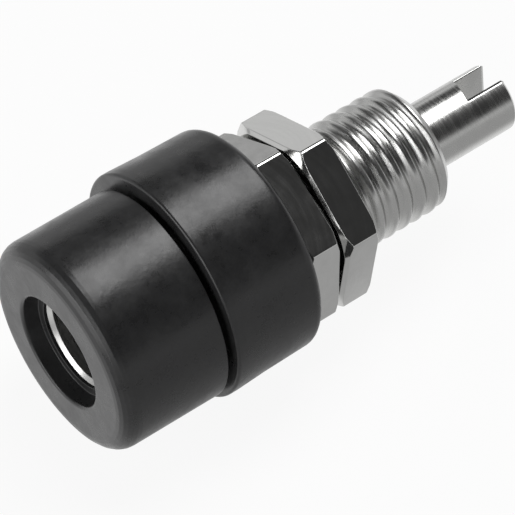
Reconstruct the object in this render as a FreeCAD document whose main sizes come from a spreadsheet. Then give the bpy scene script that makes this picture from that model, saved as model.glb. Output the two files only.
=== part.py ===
import FreeCAD, Part
import math
import os
import re
import Sketcher

# Insulated panel socket for a 4 mm banana plug, with a slotted solder pin.
# The socket's axis is Y: the plug goes in at the front, -Y, and the lead is
# soldered at the back, +Y. The origin is on the axis, in the plane where the
# front cap seats on the panel. Lengths are in mm, angles in degrees.

# Driving sizes, one row each in the document's sheet.
SIZES = {
    # turned metal socket body
    "plug_bore_dia": 4.0,        # standard hole for a 4 mm banana plug
    "bore_lead_in": 0.2,         # 45 degree chamfer at the bore's mouth
    "bore_floor": 5.15,          # metal left behind the bore's full depth
    "drill_point": 118.0,        # cone angle at the bottom of the bore
    "head_dia": 7.4,             # head that the front cap is moulded round
    "head_length": 2.0,
    "thread_dia": 6.0,           # crest of the fine M6 thread
    "thread_end_chamfer": 0.35,
    "thread_reach": 13.85,       # panel seat to the thread's end
    "pin_dia": 3.2,              # solder pin
    "pin_length": 4.9,
    "pin_chamfer": 0.15,
    "slot_width": 1.35,          # saw cut for the lead
    "slot_length": 1.7,
    "slot_turn": -8.0,           # the cut's faces look along X at 0
    # moulded front cap
    "cap_dia": 10.0,             # at the panel
    "cap_draft": 0.03,           # radius lost from the panel to the nose
    "cap_length": 5.4,           # head of the cap, in front of the panel
    "nose_radius": 0.8,
    "nose_wall": 1.1,            # plastic in front of the metal head
    "mouth_dia": 5.2,            # hole in the nose
    "mouth_radius": 0.35,
    "cap_rim_chamfer": 0.1,
    "collar_dia": 8.0,           # goes through the panel
    "collar_length": 3.6,
    "collar_chamfer": 0.2,
    # moulded rear sleeve
    "sleeve_gap": 0.3,           # open gap left between cap and sleeve
    "sleeve_length": 4.7,
    "sleeve_wall": 1.14,         # round the collar, just behind the lip
    "sleeve_draft": 0.04,        # radius lost from the lip to the rear
    "lip_height": 0.06,          # raised bead round the open end
    "lip_length": 0.5,
    "lip_chamfer": 0.2,
    "sleeve_rear_chamfer": 0.3,
    "sleeve_floor": 1.0,         # wall that the clamp nut presses on
    "sleeve_play": 0.22,         # radial play on the thread and the collar
    "sleeve_touch": 0.05,        # play left on the side it has dropped to
    "sleeve_drop_angle": -55.0,  # side it leans to, from +Z towards +X
    # hexagon nuts
    "nut_flats": 8.0,
    "nut_thickness": 1.9,
    "nut_face_dia": 8.4,         # the chamfer cuts the corners outside this
    "nut_chamfer_angle": 30.0,
    "nut_edge_break": 0.12,      # on the long edges of the flats
    "nut_play": 0.06,            # radial, on the thread's crest
    "nut_countersink": 0.25,
    "clamp_nut_angle": 0.0,      # a flat looks along X at 0
    "lock_nut_angle": 7.0,
}

# Places along the axis, and radii of the sleeve, worked out from the sizes above.
PLACES = {
    "nose_face": "(-cap_length)",
    "head_face": "(nose_wall - cap_length)",
    "head_rear": "(nose_wall - cap_length + head_length)",
    "pin_tip": "(thread_reach + pin_length)",
    "bore_end": "(thread_reach - bore_floor)",
    "sleeve_rear": "(sleeve_gap + sleeve_length)",
    "cup_radius": "(collar_dia / 2 + sleeve_play)",
    "sleeve_radius": "(collar_dia / 2 + sleeve_play + sleeve_wall)",
}

SLACK = 1.0         # how far a cutting outline runs past the metal it removes
FACE_LEFT = 0.05    # least width of a face beside a rounding or chamfer
ROUGH_SIZE = 10.0   # of an outline before its constraints size it

doc = FreeCAD.newDocument("panel_socket")
sheet = doc.addObject("Spreadsheet::Sheet", "Sizes")
for row, (alias, value) in enumerate(SIZES.items(), start=1):
    sheet.set(f"A{row}", alias)
    sheet.set(f"B{row}", str(value))
    sheet.setAlias(f"B{row}", alias)
doc.recompute()


def bound(text):
    """Write an expression of size and place names as one on the sheet."""
    for place, formula in PLACES.items():
        text = re.sub(rf"\b{place}\b", formula, text)
    return re.sub(r"[a-z]+(_[a-z]+)+", lambda word: "Sizes." + word[0], text)


def new_body(label):
    """Start the body of one sub-part."""
    body = doc.addObject("PartDesign::Body", label)
    body.Label = label
    return body


def sketch_on(body, name, role):
    """Put an empty sketch on one of the body's own origin planes."""
    plane = next(item for item in body.Origin.OriginFeatures if item.Role == role)
    sketch = body.newObject("Sketcher::SketchObject", name)
    sketch.AttachmentSupport = (plane, [""])
    sketch.MapMode = "FlatFace"
    return sketch


def hold(sketch, kind, line, text, axis):
    """Bind one coordinate of a line's start to the sheet, or put it on an axis."""
    if text == "0":
        sketch.addConstraint(Sketcher.Constraint("PointOnObject", line, 1, axis))
        return
    index = sketch.addConstraint(Sketcher.Constraint(kind, -1, 1, line, 1, 1.0))
    sketch.setExpression(f"Constraints[{index}]", bound(text))


def outline(sketch, corners):
    """Draw a closed outline; each corner is a pair of expressions, (across, along).

    The corners start on a rough circle, and their constraints move them to size.
    """
    count = len(corners)
    turn = 2 * math.pi / count
    start = [
        ROUGH_SIZE * FreeCAD.Vector(2 + math.cos(turn * k), math.sin(turn * k), 0)
        for k in range(count)
    ]
    for k in range(count):
        sketch.addGeometry(Part.LineSegment(start[k], start[(k + 1) % count]))
    for k in range(count):
        following = (k + 1) % count
        sketch.addConstraint(Sketcher.Constraint("Coincident", k, 2, following, 1))
    for k, (across, along) in enumerate(corners):
        hold(sketch, "DistanceX", k, across, -2)
        hold(sketch, "DistanceY", k, along, -1)


def turned(body, name, corners, kind="PartDesign::Revolution"):
    """Turn an outline of (radius, place along Y) about the Y axis."""
    sketch = sketch_on(body, name + "_outline", "XY_Plane")
    outline(sketch, corners)
    feature = body.newObject(kind, name)
    feature.Profile = sketch
    feature.ReferenceAxis = (sketch, ["V_Axis"])
    feature.Angle = 360
    doc.recompute()
    return feature


def rim(feature, rank):
    """Name the circular edge about the Y axis that comes first by rank(radius, y)."""
    ranked = [
        (rank(round(edge.Curve.Radius, 6), round(edge.Curve.Center.y, 6)), number)
        for number, edge in enumerate(feature.Shape.Edges, start=1)
        if isinstance(edge.Curve, Part.Circle)
    ]
    return f"Edge{min(ranked)[1]}"


def front_outer(radius, y):
    return (y, -radius)


def front_inner(radius, y):
    return (y, radius)


def rear_outer(radius, y):
    return (-y, -radius)


def widest(radius, y):
    return (-radius, y)


def dressed(body, name, kind, base, rank, amount):
    """Round or chamfer one circular edge of base by amount, an expression."""
    feature = body.newObject(kind, name)
    feature.Base = (base, [rim(base, rank)])
    sized = "Radius" if kind == "PartDesign::Fillet" else "Size"
    feature.setExpression(sized, bound(amount))
    doc.recompute()
    return feature


# Socket body: one turned piece. A head that the cap grips, a threaded shank
# bored from the front for the plug, and a slotted solder pin behind it.
socket_body = new_body("socket_body")
bore_cone = "(plug_bore_dia / 2 / tan(drill_point / 2 * 1 deg))"
turned(socket_body, "turning", [
    ("plug_bore_dia / 2 + bore_lead_in", "head_face"),
    ("head_dia / 2", "head_face"),
    ("head_dia / 2", "head_rear"),
    ("thread_dia / 2", "head_rear"),
    ("thread_dia / 2", "thread_reach - thread_end_chamfer"),
    ("thread_dia / 2 - thread_end_chamfer", "thread_reach"),
    ("pin_dia / 2", "thread_reach"),
    ("pin_dia / 2", "pin_tip - pin_chamfer"),
    ("pin_dia / 2 - pin_chamfer", "pin_tip"),
    ("0", "pin_tip"),
    ("0", "bore_end + " + bore_cone),
    ("plug_bore_dia / 2", "bore_end"),
    ("plug_bore_dia / 2", "head_face + bore_lead_in"),
])
slot_outline = sketch_on(socket_body, "slot_outline", "XY_Plane")
outline(slot_outline, [
    ("-slot_width / 2", "pin_tip - slot_length"),
    ("slot_width / 2", "pin_tip - slot_length"),
    ("slot_width / 2", f"pin_tip + {SLACK}"),
    ("-slot_width / 2", f"pin_tip + {SLACK}"),
])
slot = socket_body.newObject("PartDesign::Pocket", "slot")
slot.Profile = slot_outline
slot.Type = "ThroughAll"
slot.Midplane = True
socket_body.Placement.Rotation.Axis = FreeCAD.Vector(0, 1, 0)
socket_body.setExpression("Placement.Rotation.Angle", bound("slot_turn"))

# Front cap: one moulding round the socket's head. Its nose has the mouth for
# the plug, and its collar lines the hole in the panel.
front_cap = new_body("front_cap")
cap = turned(front_cap, "moulding", [
    ("mouth_dia / 2", "nose_face"),
    ("cap_dia / 2 - cap_draft", "nose_face"),
    ("cap_dia / 2", "0"),
    ("collar_dia / 2", "0"),
    ("collar_dia / 2", "collar_length - collar_chamfer"),
    ("collar_dia / 2 - collar_chamfer", "collar_length"),
    ("thread_dia / 2", "collar_length"),
    ("thread_dia / 2", "head_rear"),
    ("head_dia / 2", "head_rear"),
    ("head_dia / 2", "head_face"),
    ("mouth_dia / 2", "head_face"),
])
nose_wide = "(cap_dia - mouth_dia) / 2 - cap_draft - mouth_radius"
nose = dressed(
    front_cap, "nose", "PartDesign::Fillet", cap, front_outer,
    f"min(nose_radius; {nose_wide} - {FACE_LEFT})",
)
mouth = dressed(
    front_cap, "mouth", "PartDesign::Fillet", nose, front_inner,
    f"min(mouth_radius; nose_wall - {FACE_LEFT})",
)
dressed(
    front_cap, "panel_rim", "PartDesign::Chamfer", mouth, widest,
    f"min(cap_rim_chamfer; (cap_dia - collar_dia) / 2 - {FACE_LEFT})",
)

# Rear sleeve: a moulded cup that slides over the collar from behind. It has a
# bead round its open end, and the clamp nut presses on its floor. It hangs
# loose on the thread, so it sits a little off the axis.
rear_sleeve = new_body("rear_sleeve")
cup = turned(rear_sleeve, "cup", [
    ("cup_radius", "sleeve_gap"),
    ("sleeve_radius + lip_height", "sleeve_gap"),
    ("sleeve_radius + lip_height", "sleeve_gap + lip_length"),
    ("sleeve_radius", "sleeve_gap + lip_length + lip_height"),
    ("sleeve_radius - sleeve_draft", "sleeve_rear"),
    ("thread_dia / 2 + sleeve_play", "sleeve_rear"),
    ("thread_dia / 2 + sleeve_play", "sleeve_rear - sleeve_floor"),
    ("cup_radius", "sleeve_rear - sleeve_floor"),
])
lip = dressed(
    rear_sleeve, "lip", "PartDesign::Chamfer", cup, front_outer,
    f"min(lip_chamfer; lip_length - {FACE_LEFT})",
)
dressed(
    rear_sleeve, "rear_edge", "PartDesign::Chamfer", lip, rear_outer,
    "min(sleeve_rear_chamfer; sleeve_floor)",
)
lean = "(sleeve_play - sleeve_touch)"
rear_sleeve.setExpression(
    "Placement.Base.x", bound(lean + " * sin(sleeve_drop_angle * 1 deg)")
)
rear_sleeve.setExpression(
    "Placement.Base.z", bound(lean + " * cos(sleeve_drop_angle * 1 deg)")
)


def end_faces(feature):
    """Name the faces that look along Y."""
    return [
        f"Face{number}"
        for number, face in enumerate(feature.Shape.Faces, start=1)
        if abs(face.normalAt(0, 0).y) > 0.5
    ]


def hexagon_nut(label, place, angle):
    """Make a nut whose front face lies at place, turned by angle.

    The long edges of its flats are broken, and a cone cuts its corners on both
    sides.
    """
    nut = new_body(label)
    hexagon = sketch_on(nut, label + "_hexagon", "XZ_Plane")
    corner = "nut_flats / 2 / cos(30 deg)"
    half = "nut_flats / 4 / cos(30 deg)"
    outline(hexagon, [
        ("nut_flats / 2", half),
        ("0", corner),
        ("-nut_flats / 2", half),
        ("-nut_flats / 2", "-" + half),
        ("0", "-(" + corner + ")"),
        ("nut_flats / 2", "-" + half),
    ])
    blank = nut.newObject("PartDesign::Pad", label + "_blank")
    blank.Profile = hexagon
    blank.Reversed = True
    blank.setExpression("Length", bound("nut_thickness"))
    doc.recompute()
    broken = nut.newObject("PartDesign::Chamfer", label + "_edges")
    broken.Base = (blank, end_faces(blank))
    broken.setExpression("Size", bound("nut_edge_break"))
    doc.recompute()
    past = f"(nut_flats / 2 / cos(30 deg) + {SLACK})"
    fall = f"(({past} - nut_face_dia / 2) * tan(nut_chamfer_angle * 1 deg))"
    turned(nut, label + "_front_chamfer", [
        ("nut_face_dia / 2", "0"),
        (past, "0"),
        (past, fall),
    ], "PartDesign::Groove")
    turned(nut, label + "_rear_chamfer", [
        ("nut_face_dia / 2", "nut_thickness"),
        (past, "nut_thickness - " + fall),
        (past, "nut_thickness"),
    ], "PartDesign::Groove")
    hole = "thread_dia / 2 + nut_play"
    turned(nut, label + "_hole", [
        ("0", "0"),
        (hole + " + nut_countersink", "0"),
        (hole, "nut_countersink"),
        (hole, "nut_thickness - nut_countersink"),
        (hole + " + nut_countersink", "nut_thickness"),
        ("0", "nut_thickness"),
    ], "PartDesign::Groove")
    nut.Placement.Rotation.Axis = FreeCAD.Vector(0, 1, 0)
    nut.setExpression("Placement.Base.y", bound(place))
    nut.setExpression("Placement.Rotation.Angle", bound(angle))
    return nut


# Clamp nut and lock nut: the same nut twice. The first pulls the sleeve
# against the panel, the second jams it, and a lug fits between them.
clamp_nut = hexagon_nut("clamp_nut", "sleeve_rear", "clamp_nut_angle")
lock_nut = hexagon_nut("lock_nut", "sleeve_rear + nut_thickness", "lock_nut_angle")

doc.recompute()
for item in doc.Objects:
    if "Invalid" in item.State or "Error" in item.State:
        raise RuntimeError(f"{item.Name} did not build: {item.State}")

os.makedirs("parts", exist_ok=True)
for part in (socket_body, front_cap, rear_sleeve, clamp_nut, lock_nut):
    shape = part.Shape
    if shape.isNull() or not shape.isValid() or len(shape.Solids) != 1:
        raise RuntimeError(f"{part.Label} is not one valid solid")
    shape.exportStep(f"parts/{part.Label}.step")
    box = shape.BoundBox
    print(
        f"{part.Label}: {shape.Volume:.2f} mm3, y {box.YMin:.2f} to {box.YMax:.2f}, "
        f"x {box.XMin:.2f} to {box.XMax:.2f}, z {box.ZMin:.2f} to {box.ZMax:.2f}"
    )
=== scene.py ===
import math

import bpy
import bmesh
import numpy as np
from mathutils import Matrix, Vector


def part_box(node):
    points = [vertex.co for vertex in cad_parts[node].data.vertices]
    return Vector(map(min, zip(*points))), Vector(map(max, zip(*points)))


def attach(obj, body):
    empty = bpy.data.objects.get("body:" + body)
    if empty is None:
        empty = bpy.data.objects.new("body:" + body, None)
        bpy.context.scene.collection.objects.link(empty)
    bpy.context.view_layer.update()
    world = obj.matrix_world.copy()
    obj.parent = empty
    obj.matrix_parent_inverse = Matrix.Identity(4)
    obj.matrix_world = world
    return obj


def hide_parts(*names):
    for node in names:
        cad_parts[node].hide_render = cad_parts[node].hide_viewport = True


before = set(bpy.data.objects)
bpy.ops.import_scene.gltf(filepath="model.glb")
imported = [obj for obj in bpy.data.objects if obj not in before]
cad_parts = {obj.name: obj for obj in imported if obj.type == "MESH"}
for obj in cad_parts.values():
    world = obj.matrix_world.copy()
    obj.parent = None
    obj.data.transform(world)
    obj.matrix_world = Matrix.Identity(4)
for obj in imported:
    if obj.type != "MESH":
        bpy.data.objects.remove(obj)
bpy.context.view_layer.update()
MM = 0.001

# Socket body: one piece turned from brass bar and nickel plated. The head sits
# in the cap behind the mouth, the shank is bored for the plug and carries the
# fine M6 thread, and the pin behind it is sawn across for the lead.
body_low, body_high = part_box("socket_body")
ring_face = body_low.y
pin_tip = body_high.y
head_radius = body_high.x
head_length = 2.0 * MM
head_rear = ring_face + head_length
bore_radius = 2.0 * MM
bore_lead_in = 0.2 * MM
bore_floor_from_tip = 10.05 * MM
bore_end = pin_tip - bore_floor_from_tip
drill_half_angle = math.radians(59)
bore_cone = bore_radius / math.tan(drill_half_angle)
pin_length = 4.9 * MM
thread_end = pin_tip - pin_length
thread_start = 3.4 * MM
crest_radius = 3.0 * MM
thread_pitch = 0.75 * MM
thread_depth = 0.2 * MM
thread_chamfer = 0.35 * MM
pin_radius = 1.6 * MM
pin_sunk = 0.4 * MM
pin_root = thread_end - pin_sunk
pin_chamfer = 0.12 * MM
slot_half = 0.675 * MM
slot_depth = 1.9 * MM
slot_floor = pin_tip - slot_depth
slot_lean = 0.18 * MM
slot_turn = math.radians(-8.0)


def eased(corners, radii, steps=6):
    """Round the corners of an outline.

    corners is an array of points (corner, ..., radius and height). Each corner
    with a radius is left out, and in its place come the points of the arc that
    touches both of its sides, as a rational curve of the second degree.
    """
    share = np.linspace(0.0, 1.0, steps + 1)
    rows = [corners[0]]
    for k in range(1, len(corners) - 1):
        corner = corners[k]
        if radii[k] == 0:
            rows.append(corner)
            continue
        to_last = corners[k - 1] - corner
        to_next = corners[k + 1] - corner
        last_length = np.linalg.norm(to_last, axis=-1, keepdims=True)
        next_length = np.linalg.norm(to_next, axis=-1, keepdims=True)
        cosine = np.sum(to_last * to_next, axis=-1, keepdims=True)
        cosine = np.clip(cosine / (last_length * next_length), -1.0, 1.0)
        half = np.arccos(cosine) / 2
        room = 0.49 * np.minimum(last_length, next_length)
        reach = np.minimum(radii[k] / np.tan(half), room)
        start = corner + to_last / last_length * reach
        end = corner + to_next / next_length * reach
        weight = np.sin(half)
        for t in share:
            a, b, c = (1 - t) ** 2, 2 * t * (1 - t) * weight, t ** 2
            rows.append((a * start + b * corner + c * end) / (a + b + c))
    rows.append(corners[-1])
    return np.array(rows)


def stretched(rows, longest, guard):
    """Add rows to an outline where two of its rows lie far apart.

    A stretch longer than twice guard gets a row that far from each end, which
    keeps its shading flat, and evenly spaced rows no more than longest apart.
    """
    out = [rows[0]]
    for first, second in zip(rows[:-1], rows[1:]):
        length = float(np.max(np.linalg.norm(second - first, axis=-1)))
        if length > 4 * guard:
            count = max(1, math.ceil((length - 2 * guard) / longest))
            shares = guard + (length - 2 * guard) * np.arange(count + 1) / count
            out += [first + (second - first) * s / length for s in shares]
        out.append(second)
    return np.array(out)


def revolved(rows, angles):
    """Carry an outline round the Y axis.

    Row i, column j is the outline's point i at angle j, which is measured from
    +Z towards +X: x is radius times sine, z is radius times cosine.
    """
    if rows.ndim == 2:
        rows = np.repeat(rows[:, None, :], len(angles), axis=1)
    radius, height = rows[..., 0], rows[..., 1]
    return np.stack([radius * np.sin(angles), height, radius * np.cos(angles)], axis=-1)


def about_axis(points, angle):
    """Turn points about the Y axis, from +Z towards +X, by one rotation matrix."""
    across = points[..., 0] * math.cos(angle) + points[..., 2] * math.sin(angle)
    up = points[..., 2] * math.cos(angle) - points[..., 0] * math.sin(angle)
    return np.stack([across, points[..., 1], up], axis=-1)


def around(count):
    """Evenly spaced angles for one turn, without repeating the first."""
    return np.arange(count) * 2 * math.pi / count


def skin(name, patches):
    """Join grids of points into one closed mesh.

    patches holds (points, rows closed, columns closed), where points is an array
    of rows by columns by three. Each cell of a grid is one face. Points of
    different grids that coincide are merged, so the seams and poles are closed.
    """
    vertices, faces, first = [], [], 0
    for points, rows_closed, columns_closed in patches:
        rows, columns = points.shape[:2]
        index = first + np.arange(rows * columns).reshape(rows, columns)
        if rows_closed:
            index = np.concatenate([index, index[:1]], axis=0)
        if columns_closed:
            index = np.concatenate([index, index[:, :1]], axis=1)
        cells = [index[:-1, :-1], index[:-1, 1:], index[1:, 1:], index[1:, :-1]]
        faces.append(np.stack([c.ravel() for c in cells], axis=-1))
        vertices.append(points.reshape(-1, 3))
        first += rows * columns
    mesh = bpy.data.meshes.new(name)
    mesh.from_pydata(np.concatenate(vertices).tolist(), [], np.concatenate(faces).tolist())
    shape = bmesh.new()
    shape.from_mesh(mesh)
    bmesh.ops.remove_doubles(shape, verts=shape.verts, dist=0.0005 * MM)
    bmesh.ops.dissolve_degenerate(shape, edges=shape.edges, dist=0.0002 * MM)
    bmesh.ops.recalc_face_normals(shape, faces=shape.faces)
    shape.to_mesh(mesh)
    shape.free()
    mesh.polygons.foreach_set("use_smooth", [True] * len(mesh.polygons))
    piece = bpy.data.objects.new(name, mesh)
    bpy.context.scene.collection.objects.link(piece)
    return piece


def thread_surface():
    """Work out the threaded stretch of the shank.

    The height in the thread's groove is a function of the phase, height over
    pitch less angle over a turn: a flat crest, straight flanks and a round root.
    The chamfer at the end cuts whatever stands above its cone.
    """
    angles = around(168)
    rows = np.arange(math.ceil((thread_end - thread_start) / thread_pitch * 20) + 1)
    height = np.linspace(thread_start, thread_end, len(rows))[:, None]
    turn = angles[None, :] / (2 * math.pi)
    wander = 0.02 * np.sin(angles * 3 + height / (1.9 * MM)) + 0.015 * np.sin(
        angles * 7 - height / (0.7 * MM)
    )
    phase = (height / thread_pitch - turn + wander) % 1.0
    flank = np.clip(np.abs(phase - 0.5) / 0.44, 0.0, 1.0)
    groove = 0.5 + 0.5 * np.cos(math.pi * flank)
    groove = np.clip(1.1 * groove, 0.0, 1.0)
    ripple = 0.012 * MM * np.sin(angles * 11 + height / (0.23 * MM))
    radius = crest_radius - 0.01 * MM - thread_depth * groove + ripple * (1 - groove) * 0.5
    runout = np.clip((height - thread_start) / thread_pitch, 0.0, 1.0)
    radius = crest_radius + (radius - crest_radius) * runout
    cone = crest_radius - (height - (thread_end - thread_chamfer))
    radius = np.minimum(radius, cone)
    outline = np.stack([radius, np.broadcast_to(height, radius.shape)], axis=-1)
    return outline, angles


def socket_patches():
    """Cut the socket body's turned part into grids: barrel, thread and end face."""
    thread, angles = thread_surface()
    barrel = np.array([
        (0.0, bore_end + bore_cone),
        (bore_radius, bore_end),
        (bore_radius, ring_face + bore_lead_in),
        (bore_radius + bore_lead_in, ring_face),
        (head_radius, ring_face),
        (head_radius, head_rear),
        (crest_radius, head_rear),
        (crest_radius, thread_start),
    ])
    ease = np.array([0, 0.05, 0.05, 0.04, 0.1, 0.1, 0, 0]) * MM
    barrel = stretched(eased(barrel, ease), 0.6 * MM, 0.03 * MM)
    step = np.linspace(0.0, 1.0, 17)[:, None, None]
    centre = np.array([0.0, thread_end])
    face = thread[-1] + (centre - thread[-1]) * step
    return [
        (revolved(barrel, angles), False, True),
        (revolved(thread, angles), False, True),
        (revolved(face, angles), False, True),
    ]


def pin_patches():
    """Work out the solder pin: a round root, the floor of the saw cut, two prongs.

    Each prong's section is the part of the pin's circle past the saw cut. It is
    mapped from two parameters: one along the cut's straight side, and one from
    that side out to the arc.
    """
    edge = math.acos(slot_half / pin_radius)
    along = np.linspace(0.0, 1.0, 25)
    across = np.linspace(0.0, 1.0, 9)
    patches = []
    turns = []
    for side in (1, -1):
        middle = math.pi / 2 if side == 1 else 3 * math.pi / 2
        turns.append(middle - edge + 2 * edge * along)
    gap_x = slot_half * (1 - 2 * across)
    gap_low = math.pi - np.arcsin(gap_x / pin_radius)
    gap_high = 2 * math.pi + np.arcsin(gap_x[::-1] / pin_radius)
    ring = np.concatenate([turns[0], gap_low[1:-1], turns[1], gap_high[1:-1]])
    sawn = slot_floor - slot_lean * np.clip(pin_radius * np.sin(ring) / slot_half, -1, 1)
    root = np.array([
        [(0.0, pin_root)] * len(ring),
        [(pin_radius, pin_root)] * len(ring),
        [(pin_radius, height) for height in sawn],
    ])
    patches.append((revolved(stretched(root, 0.3 * MM, 0.03 * MM), ring), False, True))
    chord = pin_radius * np.sin(edge)
    width = np.sqrt(pin_radius ** 2 - gap_x ** 2)
    floor_x = np.repeat(gap_x[:, None], len(along), axis=1)
    floor_z = (1 - 2 * along)[None, :] * width[:, None]
    rough = 0.03 * MM * np.sin(math.pi * across)[:, None] * np.sin(9 * along)[None, :]
    floor_y = slot_floor - slot_lean * floor_x / slot_half - np.abs(rough)
    floor = np.stack([floor_x, floor_y, floor_z], axis=-1)
    patches.append((floor, False, False))
    for side, arc_turns in zip((1, -1), turns):
        wall_z = chord * (1 - 2 * along) * side
        wall = np.stack([np.full(len(along), slot_half * side), wall_z], axis=-1)
        arc = np.stack([np.sin(arc_turns), np.cos(arc_turns)], axis=-1) * pin_radius
        levels = stretched(
            eased(
                np.array([
                    (0.0, slot_floor - slot_lean * side),
                    (0.0, pin_tip - pin_chamfer),
                    (pin_chamfer, pin_tip),
                    (pin_chamfer + 0.02 * MM, pin_tip),
                ]),
                [0, 0.03 * MM, 0.03 * MM, 0],
                3,
            ),
            0.4 * MM, 0.03 * MM,
        )
        inner = arc.mean(axis=0)
        outer_rows, wall_rows = [], []
        for inset, height in levels:
            shrink = 1 - inset / pin_radius
            outer = arc * shrink
            close = wall * [1.0, shrink] + [inset * 0.25 * side, 0.0]
            outer_rows.append(np.insert(outer, 1, height, axis=1))
            wall_rows.append(np.insert(close, 1, height, axis=1))
        ends = []
        for outer, close in zip(outer_rows, wall_rows):
            outer[0], outer[-1] = close[0], close[-1]
            ends.append(np.concatenate([outer, close[-2:0:-1]]))
        patches.append((np.array(ends), False, True))
        share = across[:, None, None]
        patches.append((outer_rows[-1] + (wall_rows[-1] - outer_rows[-1]) * share, False, False))
    return [(about_axis(points, slot_turn), rows, columns) for points, rows, columns in patches]


def node_links(material):
    """Return a function to link a material's nodes, its shader and a function to add nodes."""
    material.use_nodes = True
    tree = material.node_tree
    shader = next(n for n in tree.nodes if n.type == "BSDF_PRINCIPLED")

    def add(kind, **values):
        node = tree.nodes.new(kind)
        for key, value in values.items():
            if key in node.bl_rna.properties:
                setattr(node, key, value)
            else:
                node.inputs[key.replace("_", " ")].default_value = value
        return node

    return tree.links.new, shader, add


def nickel(name, tone, roughness, spread, grain, scale):
    """Make a nickel plated finish with turning marks.

    The marks are noise stretched round the axis: it changes quickly along Y and
    with the radius, and slowly round the piece. They vary the roughness and
    give a fine bump. Slow cloudy noise varies the tone.
    """
    material = bpy.data.materials.new(name)
    link, shader, add = node_links(material)
    shader.inputs["Metallic"].default_value = 1.0
    place = add("ShaderNodeTexCoord")
    split = add("ShaderNodeSeparateXYZ")
    link(place.outputs["Object"], split.inputs[0])
    flat = add("ShaderNodeCombineXYZ")
    link(split.outputs["X"], flat.inputs["X"])
    link(split.outputs["Z"], flat.inputs["Z"])
    length = add("ShaderNodeVectorMath", operation="LENGTH")
    link(flat.outputs[0], length.inputs[0])
    ring = add("ShaderNodeCombineXYZ")
    slow_x = add("ShaderNodeMath", operation="MULTIPLY")
    slow_x.inputs[1].default_value = 0.06
    link(split.outputs["X"], slow_x.inputs[0])
    sum_y = add("ShaderNodeMath", operation="ADD")
    link(split.outputs["Y"], sum_y.inputs[0])
    link(length.outputs["Value"], sum_y.inputs[1])
    slow_z = add("ShaderNodeMath", operation="MULTIPLY")
    slow_z.inputs[1].default_value = 0.06
    link(split.outputs["Z"], slow_z.inputs[0])
    link(slow_x.outputs[0], ring.inputs["X"])
    link(sum_y.outputs[0], ring.inputs["Y"])
    link(slow_z.outputs[0], ring.inputs["Z"])
    marks = add("ShaderNodeTexNoise", Scale=scale, Detail=3.0, Roughness=0.6)
    link(ring.outputs[0], marks.inputs["Vector"])
    cloud = add("ShaderNodeTexNoise", Scale=900.0, Detail=4.0, Roughness=0.6)
    link(place.outputs["Object"], cloud.inputs["Vector"])
    rough = add("ShaderNodeMapRange")
    rough.inputs["From Min"].default_value = 0.3
    rough.inputs["From Max"].default_value = 0.7
    rough.inputs["To Min"].default_value = roughness - spread
    rough.inputs["To Max"].default_value = roughness + spread
    both = add("ShaderNodeMath", operation="MULTIPLY_ADD")
    both.inputs[1].default_value = 0.5
    link(marks.outputs["Fac"], both.inputs[0])
    half = add("ShaderNodeMath", operation="MULTIPLY")
    half.inputs[1].default_value = 0.5
    link(cloud.outputs["Fac"], half.inputs[0])
    link(half.outputs[0], both.inputs[2])
    link(both.outputs[0], rough.inputs["Value"])
    link(rough.outputs["Result"], shader.inputs["Roughness"])
    tint = add("ShaderNodeMix", data_type="RGBA")
    tint.inputs[6].default_value = (*[c * 0.86 for c in tone], 1.0)
    tint.inputs[7].default_value = (*[min(1.0, c * 1.08) for c in tone], 1.0)
    link(cloud.outputs["Fac"], tint.inputs[0])
    link(tint.outputs[2], shader.inputs["Base Color"])
    bump = add("ShaderNodeBump", Strength=grain, Distance=0.01 * MM)
    link(marks.outputs["Fac"], bump.inputs["Height"])
    link(bump.outputs["Normal"], shader.inputs["Normal"])
    return material


rolled_nickel = nickel("rolled_nickel", (0.6, 0.6, 0.59), 0.3, 0.14, 1.0, 7000.0)
satin_nickel = nickel("satin_nickel", (0.6, 0.6, 0.59), 0.26, 0.08, 0.5, 9000.0)
barrel = skin("threaded_barrel", socket_patches())
barrel.data.materials.append(rolled_nickel)
pin = skin("slotted_pin", pin_patches())
pin.data.materials.append(satin_nickel)
for piece in (barrel, pin):
    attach(piece, "socket")
    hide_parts("socket_body")

# Front cap: black plastic moulded round the socket's head. The nose is rounded,
# the mouth shows the metal ring behind it, and the collar lines the panel hole.
cap_low, cap_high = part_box("front_cap")
nose_relief = 0.15 * MM
nose_face = cap_low.y + nose_relief
collar_end = cap_high.y
cap_radius = 5.0 * MM
cap_draft = 0.03 * MM
nose_radius = 0.8 * MM
mouth_inner = 2.65 * MM
throat_radius = 2.16 * MM
throat_ledge = 0.15 * MM
mouth_taper = 0.12 * MM
mouth_radius = 0.15 * MM
collar_radius = 4.0 * MM


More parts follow.
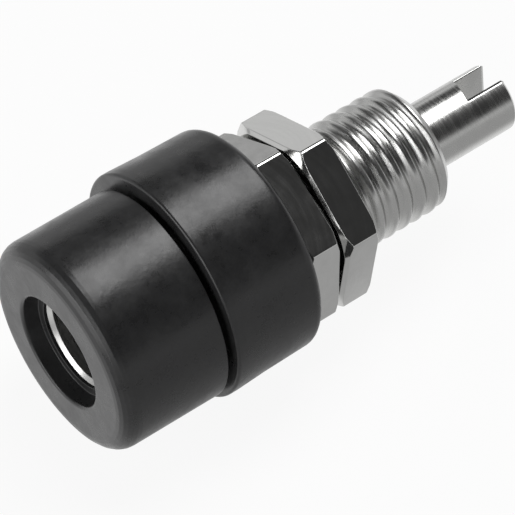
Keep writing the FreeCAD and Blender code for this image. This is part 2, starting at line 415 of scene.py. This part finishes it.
def black_plastic(name, tone, roughness):
    """Make semi-gloss black moulded plastic.

    Fine noise makes the moulding's grain in the bump, and slower noise varies
    the tone and the gloss as handling does.
    """
    material = bpy.data.materials.new(name)
    link, shader, add = node_links(material)
    place = add("ShaderNodeTexCoord")
    grain = add("ShaderNodeTexNoise", Scale=3200.0, Detail=3.0, Roughness=0.6)
    cloud = add("ShaderNodeTexNoise", Scale=900.0, Detail=6.0, Roughness=0.75)
    for noise in (grain, cloud):
        link(place.outputs["Object"], noise.inputs["Vector"])
    tint = add("ShaderNodeMix", data_type="RGBA")
    tint.inputs[6].default_value = (*[c * 0.5 for c in tone], 1.0)
    tint.inputs[7].default_value = (*[c * 1.5 for c in tone], 1.0)
    link(cloud.outputs["Fac"], tint.inputs[0])
    link(tint.outputs[2], shader.inputs["Base Color"])
    rough = add("ShaderNodeMapRange")
    rough.inputs["From Min"].default_value = 0.3
    rough.inputs["From Max"].default_value = 0.7
    rough.inputs["To Min"].default_value = roughness - 0.08
    rough.inputs["To Max"].default_value = roughness + 0.1
    link(cloud.outputs["Fac"], rough.inputs["Value"])
    link(rough.outputs["Result"], shader.inputs["Roughness"])
    bump = add("ShaderNodeBump", Strength=0.7, Distance=0.01 * MM)
    link(grain.outputs["Fac"], bump.inputs["Height"])
    link(bump.outputs["Normal"], shader.inputs["Normal"])
    return material


gloss_black = black_plastic("moulded_black", (0.022, 0.022, 0.0225), 0.3)


def turned_ring(name, corners, ease, columns=180):
    """Turn a closed outline of (radius, height) about the Y axis into one piece."""
    closed = np.array(corners + corners[:1]) * 1.0
    rows = stretched(eased(closed, list(ease) + [0]), 0.5 * MM, 0.03 * MM)[:-1]
    return skin(name, [(revolved(rows, around(columns)), True, True)])


cap = turned_ring("front_cap_moulding", [
    (throat_radius, ring_face),
    (throat_radius, ring_face - throat_ledge),
    (mouth_inner - mouth_taper, ring_face - throat_ledge),
    (mouth_inner, nose_face),
    (cap_radius - cap_draft, nose_face),
    (cap_radius, 0.0),
    (collar_radius, 0.0),
    (collar_radius, collar_end),
    (crest_radius, collar_end),
    (crest_radius, head_rear),
    (head_radius, head_rear),
    (head_radius, ring_face),
], [
    0, 0.03 * MM, 0.05 * MM, mouth_radius, nose_radius, 0.07 * MM,
    0.1 * MM, 0.15 * MM, 0, 0, 0, 0,
])
cap.data.materials.append(gloss_black)
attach(cap, "socket")
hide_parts("front_cap")

# Rear sleeve: a black moulded cup, loose on the collar, that the clamp nut
# pushes against the back of the panel. Its open end has a raised bead.
sleeve_low, sleeve_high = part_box("rear_sleeve")
sleeve_middle = (sleeve_low + sleeve_high) / 2
sleeve_front = sleeve_low.y
sleeve_rear = sleeve_high.y
lip_radius = min(sleeve_high.x - sleeve_low.x, sleeve_high.z - sleeve_low.z) / 2
lip_height = 0.06 * MM
lip_length = 0.5 * MM
sleeve_draft = 0.04 * MM
cup_radius = 4.22 * MM
floor_radius = 3.22 * MM
sleeve_floor = 1.0 * MM

sleeve = turned_ring("rear_sleeve_moulding", [
    (cup_radius, sleeve_front),
    (lip_radius, sleeve_front),
    (lip_radius, sleeve_front + lip_length),
    (lip_radius - lip_height, sleeve_front + 4 * lip_length),
    (lip_radius - lip_height - sleeve_draft, sleeve_rear),
    (floor_radius, sleeve_rear),
    (floor_radius, sleeve_rear - sleeve_floor),
    (cup_radius, sleeve_rear - sleeve_floor),
], [0, 0.14 * MM, 0.6 * MM, 0.6 * MM, 0.45 * MM, 0.05 * MM, 0.05 * MM, 0.1 * MM])
sleeve_points = np.zeros(len(sleeve.data.vertices) * 3)
sleeve.data.vertices.foreach_get("co", sleeve_points)
sleeve_points = sleeve_points.reshape(-1, 3) + [sleeve_middle.x, 0.0, sleeve_middle.z]
sleeve.data.vertices.foreach_set("co", sleeve_points.ravel())
sleeve.data.materials.append(gloss_black)
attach(sleeve, "sleeve")
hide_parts("rear_sleeve")

# Hexagon nuts: two of the same, turned and milled from hexagon bar, chamfered
# on both sides and nickel plated bright. The second jams the first.
nut_flat = 4.0 * MM
nut_face = 4.1 * MM
edge_break = 0.15 * MM
face_relief = 0.08 * MM
nut_slope = math.tan(math.radians(30))
nut_hole = 3.02 * MM
nut_countersink = 0.25 * MM
corner_ease = 0.2 * MM
lock_tilt = 7.0


def hexagon_radius(angles):
    """Give the distance from the axis to a hexagon with rounded corners.

    Within a sixth of a turn about a flat's middle the flat lies at a fixed
    distance over the cosine of the angle. Near a corner the arc that eases it
    takes over where it is nearer.
    """
    near = (angles + math.pi / 6) % (math.pi / 3) - math.pi / 6
    flat = nut_flat / np.cos(near)
    from_corner = math.pi / 6 - np.abs(near)
    centre = (nut_flat - corner_ease) / math.cos(math.pi / 6)
    inside = np.maximum(corner_ease ** 2 - (centre * np.sin(from_corner)) ** 2, 0.0)
    arc = centre * np.cos(from_corner) + np.sqrt(inside)
    tangent = math.atan2((nut_flat - corner_ease) * math.tan(math.pi / 6), nut_flat)
    return np.where(np.abs(near) > tangent, arc, flat)


def nut(name, node, tilt, front_relief, rear_relief):
    """Work out a nut, one outline at each angle.

    The outline runs from the hole over the face, down the broken edge or the
    corner's cone to the flat, and back the same way to the other face.
    """
    low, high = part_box(node)
    low.y += front_relief
    high.y -= rear_relief
    sixth = np.concatenate([
        np.linspace(-30, -26.5, 9)[:-1],
        np.linspace(-26.5, 26.5, 19),
        np.linspace(26.5, 30, 9)[1:-1],
    ])
    angles = np.radians((sixth[None, :] + 60 * np.arange(6)[:, None]).ravel())
    reach = hexagon_radius(angles)
    face = np.minimum(nut_face, reach - edge_break)
    fall = np.maximum((reach - face) * nut_slope, edge_break)
    one = np.ones(len(angles))
    corners = np.array([
        (one * nut_hole, one * (low.y + nut_countersink)),
        (one * (nut_hole + nut_countersink), one * low.y),
        (face, one * low.y),
        (reach, low.y + fall),
        (reach, high.y - fall),
        (face, one * high.y),
        (one * (nut_hole + nut_countersink), one * high.y),
        (one * nut_hole, one * (high.y - nut_countersink)),
    ]).transpose(0, 2, 1)
    ease = np.array([0, 0.04, 0.05, 0.045, 0.045, 0.05, 0.04, 0]) * MM
    outer = stretched(eased(corners, ease, 4), 0.3 * MM, 0.03 * MM)
    bore = corners[-1] + (corners[0] - corners[-1]) * np.linspace(0, 1, 25)[1:-1, None, None]
    rows = np.concatenate([outer, bore])
    turned = angles + math.pi / 2 + math.radians(tilt)
    piece = skin(name, [(revolved(rows, turned), True, True)])
    piece.data.materials.append(bright_nickel)
    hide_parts(node)
    return piece


bright_nickel = nickel("bright_nickel", (0.66, 0.66, 0.65), 0.16, 0.06, 0.25, 5000.0)
clamp_nut = nut("clamp_hexagon_nut", "clamp_nut", 0.0, 0.0, face_relief)
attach(clamp_nut, "clamp_nut")
lock_nut = nut("lock_hexagon_nut", "lock_nut", lock_tilt, face_relief, 0.0)
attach(lock_nut, "lock_nut")

# Stand-in studio: a pale floor just under the sleeve, three soft lights, and a
# world that is white to the camera, and pale at the horizon and dark above to
# everything else. In reflections the floor carries painted shade: its glow is
# turned down by position to the right, where it stands in for the part's own
# shadow, and far left.
floor_clearance = 0.05 * MM
floor_height = sleeve_low.z - floor_clearance
floor_reach = 600 * MM
floor_mesh = bpy.data.meshes.new("floor")
floor_mesh.from_pydata(
    [
        (-floor_reach, -floor_reach, floor_height),
        (floor_reach, -floor_reach, floor_height),
        (floor_reach, floor_reach, floor_height),
        (-floor_reach, floor_reach, floor_height),
    ],
    [],
    [(0, 1, 2, 3)],
)
floor = bpy.data.objects.new("floor", floor_mesh)
bpy.context.scene.collection.objects.link(floor)
pale = bpy.data.materials.new("pale_floor")
link, shader, add = node_links(pale)
shader.inputs["Base Color"].default_value = (0.85, 0.85, 0.85, 1.0)
shader.inputs["Roughness"].default_value = 1.0
shader.inputs["Specular IOR Level"].default_value = 0.0
rays = add("ShaderNodeLightPath")
mirrored = add("ShaderNodeMath", operation="MULTIPLY")
mirrored.inputs[1].default_value = 0.9
bounced = add("ShaderNodeMath", operation="MAXIMUM")
link(rays.outputs["Is Glossy Ray"], bounced.inputs[0])
link(rays.outputs["Is Transmission Ray"], bounced.inputs[1])
link(bounced.outputs[0], mirrored.inputs[0])
seen = add("ShaderNodeMath", operation="MULTIPLY")
seen.inputs[1].default_value = 0.92
link(rays.outputs["Is Camera Ray"], seen.inputs[0])
share = add("ShaderNodeMath", operation="MAXIMUM")
link(mirrored.outputs[0], share.inputs[0])
link(seen.outputs[0], share.inputs[1])
place = add("ShaderNodeTexCoord")
split = add("ShaderNodeSeparateXYZ")
link(place.outputs["Object"], split.inputs[0])
# Painted shade: in reflections the floor's glow falls from 1 to 0.44 between x = 1.5 and 6 mm,
# standing in for the part's own shadow.
painted_shade_right = add("ShaderNodeMapRange", interpolation_type="SMOOTHSTEP")
painted_shade_right.inputs["From Min"].default_value = 1.5 * MM
painted_shade_right.inputs["From Max"].default_value = 6 * MM
painted_shade_right.inputs["To Min"].default_value = 1.0
painted_shade_right.inputs["To Max"].default_value = 0.44
link(split.outputs["X"], painted_shade_right.inputs["Value"])
# Painted shade: the reflected glow also falls to 0.4 between x = -15 and -50 mm.
painted_shade_far_left = add("ShaderNodeMapRange", interpolation_type="SMOOTHSTEP")
painted_shade_far_left.inputs["From Min"].default_value = -15 * MM
painted_shade_far_left.inputs["From Max"].default_value = -50 * MM
painted_shade_far_left.inputs["To Min"].default_value = 1.0
painted_shade_far_left.inputs["To Max"].default_value = 0.4
link(split.outputs["X"], painted_shade_far_left.inputs["Value"])
# Their product is the painted shade in the floor's reflected glow; camera rays still see an even
# white of 1.
both = add("ShaderNodeMath", operation="MULTIPLY")
link(painted_shade_right.outputs["Result"], both.inputs[0])
link(painted_shade_far_left.outputs["Result"], both.inputs[1])
glow_with_painted_shade = add("ShaderNodeMix")
link(rays.outputs["Is Camera Ray"], glow_with_painted_shade.inputs[0])
link(both.outputs[0], glow_with_painted_shade.inputs[2])
glow_with_painted_shade.inputs[3].default_value = 1.0
white = add("ShaderNodeEmission")
link(glow_with_painted_shade.outputs[0], white.inputs["Strength"])
blend = add("ShaderNodeMixShader")
link(share.outputs[0], blend.inputs[0])
link(shader.outputs[0], blend.inputs[1])
link(white.outputs[0], blend.inputs[2])
surface = next(n for n in pale.node_tree.nodes if n.type == "OUTPUT_MATERIAL")
link(blend.outputs[0], surface.inputs["Surface"])
floor_mesh.materials.append(pale)

world = bpy.data.worlds.new("studio")
bpy.context.scene.world = world
world.use_nodes = True
tree = world.node_tree
direction = tree.nodes.new("ShaderNodeTexCoord")
split = tree.nodes.new("ShaderNodeSeparateXYZ")
tree.links.new(direction.outputs["Generated"], split.inputs[0])
rise = tree.nodes.new("ShaderNodeMapRange")
rise.interpolation_type = "SMOOTHSTEP"
rise.inputs["From Min"].default_value = 0.16
rise.inputs["From Max"].default_value = 0.34
rise.inputs["To Min"].default_value = 0.62
rise.inputs["To Max"].default_value = 0.035
tree.links.new(split.outputs["Z"], rise.inputs["Value"])
fade = tree.nodes.new("ShaderNodeMapRange")
fade.inputs["From Min"].default_value = -0.9
fade.inputs["From Max"].default_value = 0.9
fade.inputs["To Min"].default_value = 1.25
fade.inputs["To Max"].default_value = 1.05
tree.links.new(split.outputs["X"], fade.inputs["Value"])
graded = tree.nodes.new("ShaderNodeMath")
graded.operation = "MULTIPLY"
tree.links.new(rise.outputs["Result"], graded.inputs[0])
tree.links.new(fade.outputs["Result"], graded.inputs[1])
rays = tree.nodes.new("ShaderNodeLightPath")
level = tree.nodes.new("ShaderNodeMix")
tree.links.new(rays.outputs["Is Camera Ray"], level.inputs[0])
tree.links.new(graded.outputs[0], level.inputs[2])
level.inputs[3].default_value = 1.0
background = next(n for n in tree.nodes if n.type == "BACKGROUND")
tree.links.new(level.outputs[0], background.inputs["Strength"])
background.inputs["Color"].default_value = (1.0, 1.0, 1.0, 1.0)


def soft_light(name, towards, distance, width, length, radiance):
    """Hang a rectangular soft light that way from the part, facing it.

    Its power is radiance times pi times its area, so radiance is how bright it
    looks in a mirror.
    """
    data = bpy.data.lights.new(name, "AREA")
    data.shape = "RECTANGLE"
    data.size, data.size_y = width, length
    data.energy = radiance * math.pi * width * length
    lamp = bpy.data.objects.new(name, data)
    bpy.context.scene.collection.objects.link(lamp)
    way = np.array(towards) / np.linalg.norm(towards)
    lamp.location = way * distance
    lamp.rotation_euler = lamp.location.to_track_quat("Z", "Y").to_euler()
    return lamp


soft_light("overhead_strip", (-0.176, 0.408, 0.894), 0.3, 0.15, 0.25, 5.5)
soft_light("front_panel", (-0.05, -0.97, 0.24), 0.3, 0.42, 0.2, 1.7)
soft_light("front_strip", (-0.12, -0.88, 0.42), 0.3, 0.26, 0.05, 3.5)

# Camera at the photograph's angle: above and to the right of the plug's mouth.
camera_azimuth = math.radians(52.4)
camera_elevation = math.radians(50.2)
camera_distance = 136.2 * MM
look_at = np.array([0.64, 4.85, -0.52]) * MM
back = np.array([
    math.sin(camera_azimuth) * math.cos(camera_elevation),
    -math.cos(camera_azimuth) * math.cos(camera_elevation),
    math.sin(camera_elevation),
])
camera_data = bpy.data.cameras.new("camera")
camera_data.sensor_width = 36.0
camera_data.lens = 220.2
camera_data.clip_start = 0.001
camera = bpy.data.objects.new("camera", camera_data)
bpy.context.scene.collection.objects.link(camera)
camera.location = look_at + back * camera_distance
camera.rotation_euler = (math.pi / 2 - camera_elevation, 0.0, camera_azimuth)
bpy.context.scene.camera = camera
bpy.context.scene.view_settings.view_transform = "Standard"
